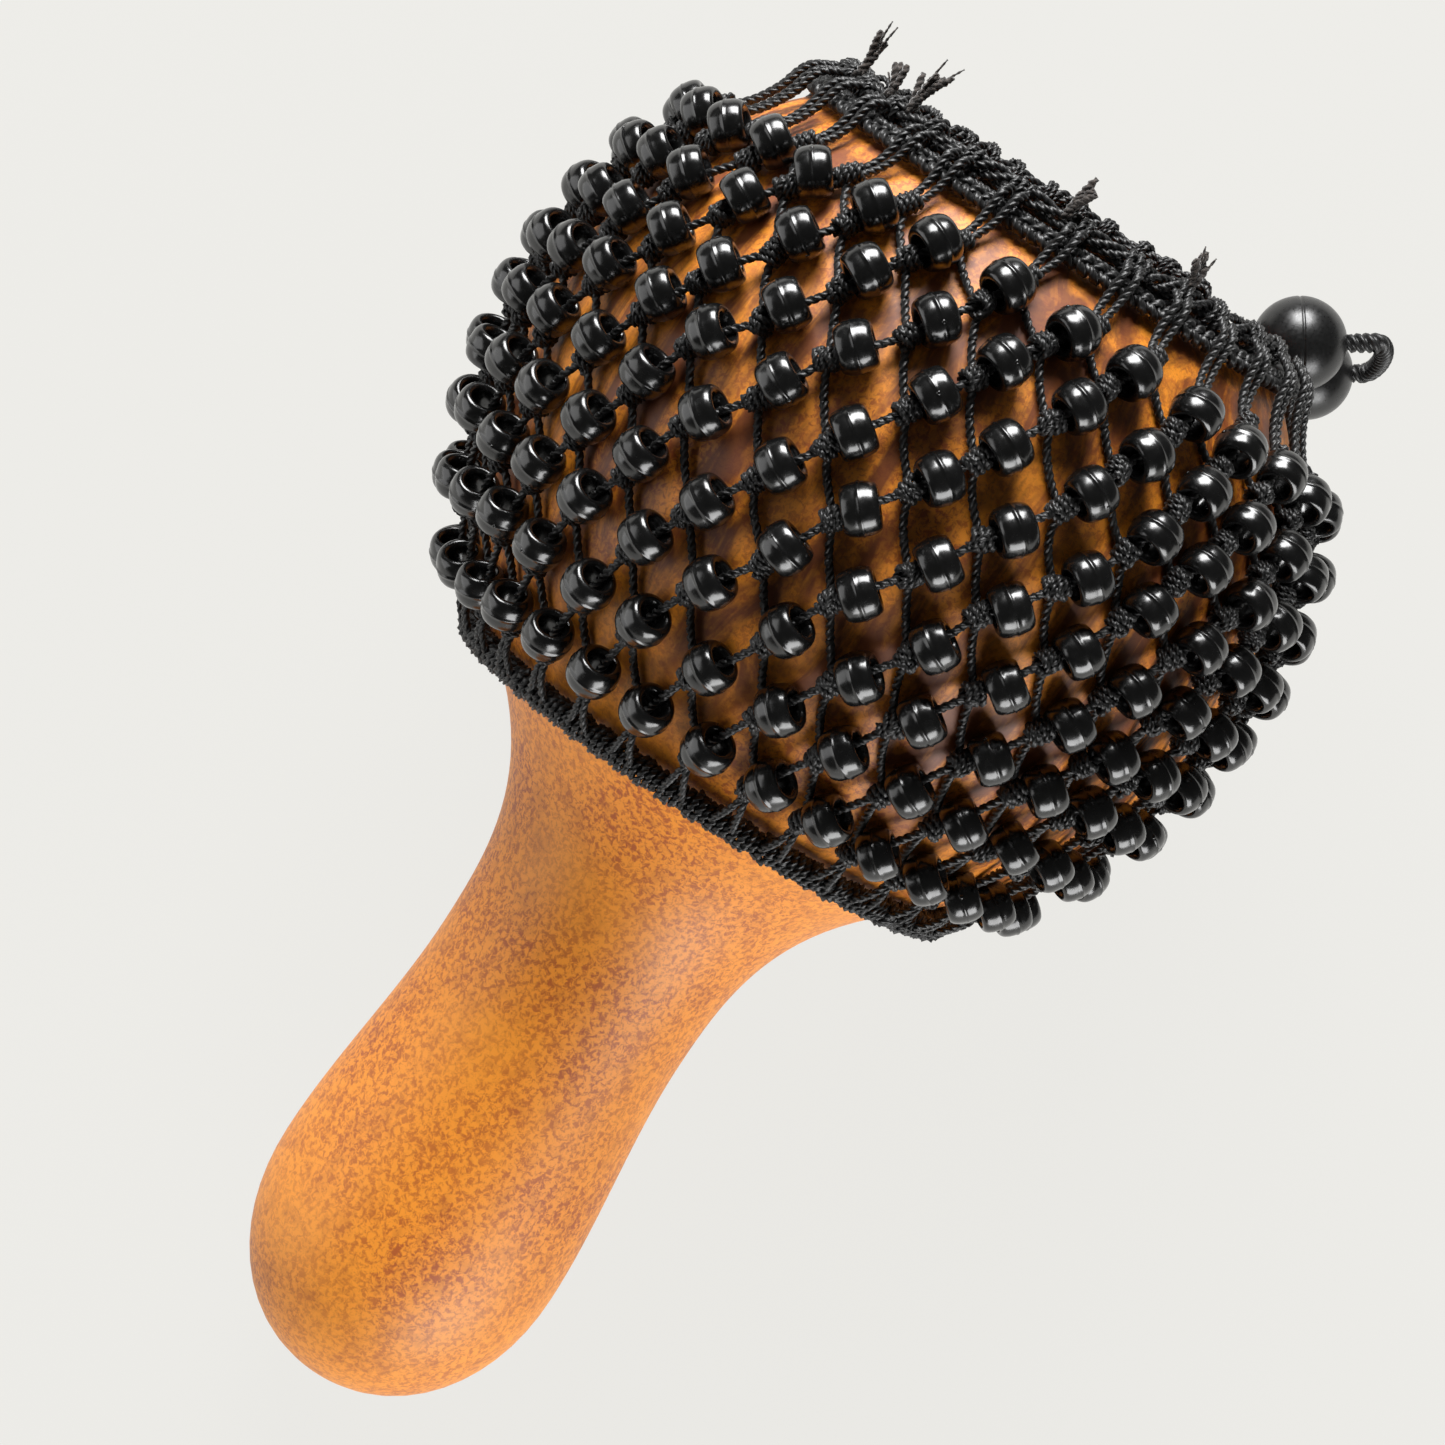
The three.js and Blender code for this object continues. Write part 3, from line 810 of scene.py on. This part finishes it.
# ---------------------------------------------------------------- collar
def make_collar_braid():
    """A flat three-strand braid with a thin cord along the edge nearer the mouth."""
    parcel = Parcel()
    angle = np.linspace(0, 360, BRAID_REPEATS * 26, endpoint=False)
    centre, out, way = ring_frame(slanted_z(BRAID_Z, angle), BRAID_HEIGHT, angle)
    for strand in range(3):
        t = np.radians(angle) * BRAID_REPEATS + strand * 2 * math.pi / 3
        across, lift = BRAID_REACH * np.sin(t), BRAID_LIFT * np.sin(2 * t)
        path = centre + way * across[:, None] + out * lift[:, None]
        parcel.hoop(cord_rings(path, out, BRAID_STRAND_R, 340 / 90, valley=0.6))
    angle = np.linspace(0, 360, 700, endpoint=False)
    centre, out, _ = ring_frame(slanted_z(BRAID_Z + 1.9, angle), 1.6, angle)
    parcel.hoop(cord_rings(centre, out, 0.7, 340 / 85))
    braid = parcel.piece("collar_braid_cords", CORD)
    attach(braid, "collar")
    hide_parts("collar_braid")
    return braid


def make_collar_ridge():
    """A loose bundle: four ropes rolled round each other, tied round at every column."""
    parcel = Parcel()
    start, end = RIDGE_ENDS
    angle = np.linspace(start, end, 900)
    centre, out, way = ring_frame(slanted_z(RIDGE_Z, angle), RIDGE_HEIGHT, angle)
    a = np.radians(angle)
    drift = 0.35 * np.sin(a * 7 + 0.5) + 0.3 * np.sin(a * 17 + 2)
    lift = 0.3 * np.sin(a * 11 + 1) + 0.25 * np.sin(a * 23)
    centre = centre + way * drift[:, None] * 0.8 + out * lift[:, None] * 0.8
    for strand in range(RIDGE_ROPES):
        t = a * RIDGE_TWISTS + strand * 2 * math.pi / RIDGE_ROPES + 0.6 * np.sin(a * 9)
        reach = 1.2 + 0.3 * np.sin(a * 13 + 2 * strand)
        offset = (np.cos(t) * reach)[:, None] * out + (np.sin(t) * reach)[:, None] * way
        parcel.tubes(cord_rings(centre + offset, out, RIDGE_ROPE_R, STRING_LAY)[None])
    for column in range(COLUMNS):
        middle = 180 + PITCH * (column + 0.35) + chance.normal(0, 0.8)
        while middle < start + 3:
            middle += 360
        if middle > end - 3:
            continue
        t = np.linspace(0, 1, 44)
        tie = middle + (t - 0.5) * chance.uniform(3.2, 4.6)
        centre, out, way = ring_frame(slanted_z(RIDGE_Z, tie), RIDGE_HEIGHT, tie)
        turns = 2 * math.pi * 2.6 * t + chance.uniform(0, 6)
        around = np.cos(turns)[:, None] * out + np.sin(turns)[:, None] * way
        girth = 1.95 + chance.uniform(0, 0.7) * np.sin(math.pi * t)
        parcel.tubes(cord_rings(centre + around * girth[:, None], around, 0.62, 3.4)[None])
    ridge = parcel.piece("collar_ridge_bundle", CORD)
    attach(ridge, "collar")
    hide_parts("collar_ridge")
    return ridge


def make_tuft(index):
    """A cut cord end: blunt twisted strands that open a little, with frayed tips."""
    angle, length, lean = TUFTS[index]
    angle += 180
    z = slanted_z(RIDGE_Z, angle)
    root = above(z, RIDGE_HEIGHT + 1.3, angle)
    out = shell_normal(z, angle)
    a = math.radians(angle)
    round_way = np.array([-math.sin(a), math.cos(a), 0.0])
    up = np.array([0.0, 0.0, 1.0])
    parcel = Parcel()
    for radius, count, fan in TUFT_ENDS:
        for _ in range(count):
            spray = chance.normal(0, fan, 3)
            reach = length * chance.uniform(0.6, 1.0)
            points = [root + chance.normal(0, 0.35, 3)]
            for t in (0.35, 0.7, 1.0):
                bend = round_way * lean * t * t + spray * reach * t**1.4
                points.append(root + up * reach * t + out * reach * 0.22 * t + bend)
            path = spread(np.array(points)[None], 12)[0]
            taper = radius * np.interp(np.linspace(0, 1, 12), [0, 0.85, 1], [1, 1, 0.6])
            normal = np.broadcast_to(out + 0.1, path.shape)
            parcel.tubes(cord_rings(path, normal, taper, 2.6, strands=2)[None])
    tuft = parcel.piece(f"tuft_{index + 1}", FRAYED)
    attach(tuft, "collar")
    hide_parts(f"collar_tuft_{index + 1}")
    return tuft


# ---------------------------------------------------------------- drawcord
def drawcord_point(out, up, along):
    return np.array([-up, -out, along])


def pull_way():
    a = math.radians(PULL_ANGLE)
    return np.array([0.0, -math.sin(a), math.cos(a)])


def loop_route():
    """The drawcord's route: out through one bead, and back through the other to the collar."""
    pull = pull_way()
    one, two = (drawcord_point(*at) for at in TOGGLE_AT)
    far = TOGGLE_R + LEG_SPARE
    leg_one = one + pull * (far + (two - one) @ pull)
    leg_two = two + pull * far
    middle, side = (leg_one + leg_two) / 2, (leg_two - leg_one) / 2
    bend = []
    for degrees in (30, 60, 90, 120, 150):
        a = math.radians(degrees)
        bend.append(middle - side * math.cos(a) + pull * LOOP_REACH * math.sin(a))
    return np.array(
        [
            one - pull * (TOGGLE_R - 0.4),
            one + pull * (TOGGLE_R + 0.4),
            leg_one,
            *bend,
            leg_two,
            two + pull * (TOGGLE_R + 0.4),
            two - pull * (TOGGLE_R + 0.6),
            drawcord_point(43.4, -41.0, 249.2),
            drawcord_point(40.6, -39.8, 249.8),
            drawcord_point(37.9, -37.9, 250.8),
            drawcord_point(35.6, -35.6, 251.6),
        ]
    )


def make_drawcord():
    """A three-strand laid cord through both round beads."""
    route = loop_route()
    path = spread(route[None], 150)[0]
    middle = path.mean(0)
    normal = unit(path - middle + np.array([0.3, 0.1, 0.2]))
    parcel = Parcel()
    parcel.tubes(cord_rings(path, normal, 1.2 * LOOP_R, 4.8, per_strand=6)[None])
    loop = parcel.piece("drawcord", CORD)
    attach(loop, "collar")
    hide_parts("drawcord_loop")
    return loop


def make_toggle(index):
    """A large round bead with a flared hole and a parting groove round its middle."""
    pull = pull_way()
    bore = math.asin(TOGGLE_BORE_R / TOGGLE_R)
    a = np.linspace(bore + 0.06, math.pi - bore - 0.06, 121)
    groove = 0.2 * np.exp(-(((a - math.pi / 2) / 0.022) ** 2))
    along = -(TOGGLE_R - groove) * np.cos(a)
    out = (TOGGLE_R - groove) * np.sin(a)
    lip = TOGGLE_R * math.cos(bore + 0.06)
    inner = [(lip - 0.12, TOGGLE_BORE_R + 0.22), (lip - 0.5, TOGGLE_BORE_R)]
    section = np.concatenate(
        [
            np.stack([along, out], -1),
            inner,
            [(-x, r) for x, r in reversed(inner)],
        ]
    )
    sides = 64
    t = 2 * math.pi * np.arange(sides) / sides
    points = np.stack(
        [section[:, 0:1] + 0 * t, section[:, 1:2] * np.cos(t), section[:, 1:2] * np.sin(t)],
        -1,
    )
    parcel = Parcel()
    centre = drawcord_point(*TOGGLE_AT[index])
    across = unit(np.cross(pull, np.array([1.0, 0.2, 0.1])))
    shape = turned(points, centre, pull, across)
    parcel.add(shape, grid_faces(len(section), sides, looped=True))
    toggle = parcel.piece(f"round_bead_{index + 1}", TOGGLE_PLASTIC)
    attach(toggle, f"toggle_{index + 1}")
    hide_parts(f"toggle_bead_{index + 1}")
    return toggle


# ---------------------------------------------------------------- gourd
def make_gourd():
    """The shell as one closed wall: outside, slanted rim, inside."""
    sides = 160
    angle = 360 * np.arange(sides) / sides
    mouth = slanted_z(RIM_Z, angle)
    tip = HANDLE_Z * (1 - np.cos(np.linspace(0, math.pi / 2, 16)[1:]))
    body = np.linspace(HANDLE_Z, BELLY_Z, 70)[1:]
    beyond = BELLY_Z + np.linspace(0, 1, 40)[1:, None] * (mouth - BELLY_Z)
    straight = np.concatenate([tip, body])[:, None] + 0 * angle
    outside = above(np.concatenate([straight, beyond]), 0, angle)
    outside[-1, :, 2] -= 0.3
    rim = []
    for inset, drop in ((0.35, 0), (RIM_WIDTH - 0.3, 0), (RIM_WIDTH, 0.3)):
        r = outer_radius(mouth) - inset
        lean = MOUTH_SLOPE * r * np.cos(np.radians(angle))
        rim.append(round_point(r, angle, RIM_Z + lean - drop))
    beyond = BELLY_Z + np.linspace(0.93, 0, 34)[:, None] * (mouth - BELLY_Z)
    body = np.linspace(BELLY_Z, 3.4, 64)[1:, None] + 0 * angle
    inside = above(np.concatenate([beyond, body]), -WALL, angle)
    points = np.concatenate([outside, np.stack(rim), inside])
    wave = 0.12 * np.sin(np.radians(angle) * 2 + points[..., 2] / 31)
    wave = wave + 0.1 * np.sin(np.radians(angle) * 3 - points[..., 2] / 19 + 1.3)
    points[..., :2] *= (1 + wave / 60)[..., None]
    parcel = Parcel()
    parcel.add(points, grid_faces(len(points), sides))
    count = parcel.count
    parcel.add([[0, 0, 0], [0, 0, WALL]], np.zeros((0, 3), int))
    last = (len(points) - 1) * sides
    for i in range(sides):
        j = (i + 1) % sides
        parcel.faces.append([count, j, i])
        parcel.faces.append([count + 1, last + i, last + j])
    gourd = parcel.piece("gourd", CALABASH)
    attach(gourd, "gourd")
    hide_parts("gourd_shell")
    return gourd


# ---------------------------------------------------------------- floor and light
def make_floor():
    mesh = bpy.data.meshes.new("paper_floor")
    half = 3.0
    corners = [(-half, -half, 0), (half, -half, 0), (half, half, 0), (-half, half, 0)]
    mesh.from_pydata(corners, [], [(0, 1, 2, 3)])
    mesh.materials.append(PAPER)
    floor = bpy.data.objects.new("paper_floor", mesh)
    floor.location.z = -0.0005
    bpy.context.scene.collection.objects.link(floor)


def softbox(name, offset, size, power):
    """An area light placed by right, up and back as the camera sees them, in metres."""
    to_row, _, foot = camera_axes()
    right, up, back = to_row.T
    place = foot + right * offset[0] + up * offset[1] + back * offset[2]
    data = bpy.data.lights.new(name, "AREA")
    data.shape = "RECTANGLE"
    data.size, data.size_y = size
    data.energy = power
    light = bpy.data.objects.new(name, data)
    light.location = place
    light.rotation_mode = "QUATERNION"
    light.rotation_quaternion = Vector(foot - place).to_track_quat("-Z", "Y")
    bpy.context.scene.collection.objects.link(light)


def make_lights():
    softbox("top_softbox", (0.10, 0.80, 0.46), (0.60, 0.50), 20)
    softbox("bottom_softbox", (0.22, -0.80, 0.24), (0.70, 0.50), 8.5)
    softbox("left_panel", (-0.85, 0.05, 0.05), (0.80, 1.30), 5.5)
    world = bpy.data.worlds.new("studio")
    bpy.context.scene.world = world
    world.use_nodes = True
    background = world.node_tree.nodes["Background"]
    background.inputs["Color"].default_value = srgb("#EBEAE6")
    background.inputs["Strength"].default_value = 0.06


# ---------------------------------------------------------------- the whole
def make_all():
    make_drawcord()
    make_gourd()
    make_neck_ring()
    make_start_cords()
    cords = [row_cords(row) for row in range(ROWS)]
    for row in range(ROWS + 1):
        make_knot_row(row, cords)
    for row in range(ROWS):
        make_bead_row(row)
    make_collar_braid()
    make_collar_ridge()
    for index in range(len(TUFTS)):
        make_tuft(index)
    for index in range(2):
        make_toggle(index)
    make_floor()
    make_lights()


make_all()
bpy.context.scene.view_settings.view_transform = "Standard"
